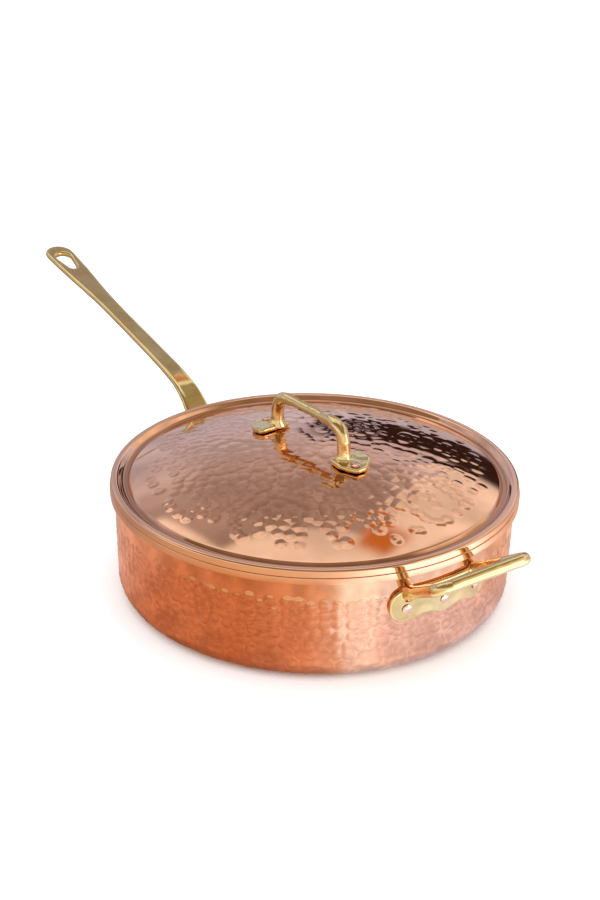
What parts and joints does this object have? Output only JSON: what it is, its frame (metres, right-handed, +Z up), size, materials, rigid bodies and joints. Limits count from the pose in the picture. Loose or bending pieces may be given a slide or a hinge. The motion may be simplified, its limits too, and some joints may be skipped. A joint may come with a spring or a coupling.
{
  "type": "covered saute pan",
  "caption": "Round shallow hammered copper pan with a flat base and lined inside, a long strap handle, a looped helper handle and a domed lid lifted by a riveted bridge handle.",
  "frame": {"origin": "centre of the flat underside of the base, on the pan's axis", "axes": "+Z is up, +X runs from the pan's axis along the long handle, and the helper handle is on the -X side"},
  "size_m": [0.5657, 0.287, 0.1458],
  "materials": {
    "hammered_copper": null,
    "tin_lining": null,
    "cast_brass": "polished sand-cast brass",
    "rivet_copper": null
  },
  "bodies": {
    "pan": {"pan_shell": "hammered_copper", "pan_lining": "tin_lining", "long_handle": "cast_brass", "handle_rivet_1": "rivet_copper", "handle_rivet_2": "rivet_copper", "handle_rivet_3": "rivet_copper", "helper_handle": "cast_brass", "helper_rivet_1": "rivet_copper", "helper_rivet_2": "rivet_copper", "helper_rivet_3": "rivet_copper"},
    "lid": {"lid_shell": "hammered_copper", "lid_lining": "tin_lining", "lid_handle": "cast_brass", "lid_rivet_1": "rivet_copper", "lid_rivet_2": "rivet_copper"}
  },
  "joints": [
    {"name": "lid_lift", "type": "slide", "parent": "pan", "child": "lid", "axis": [0, 0, 1], "range_m": [0, 0.12]}
  ]
}
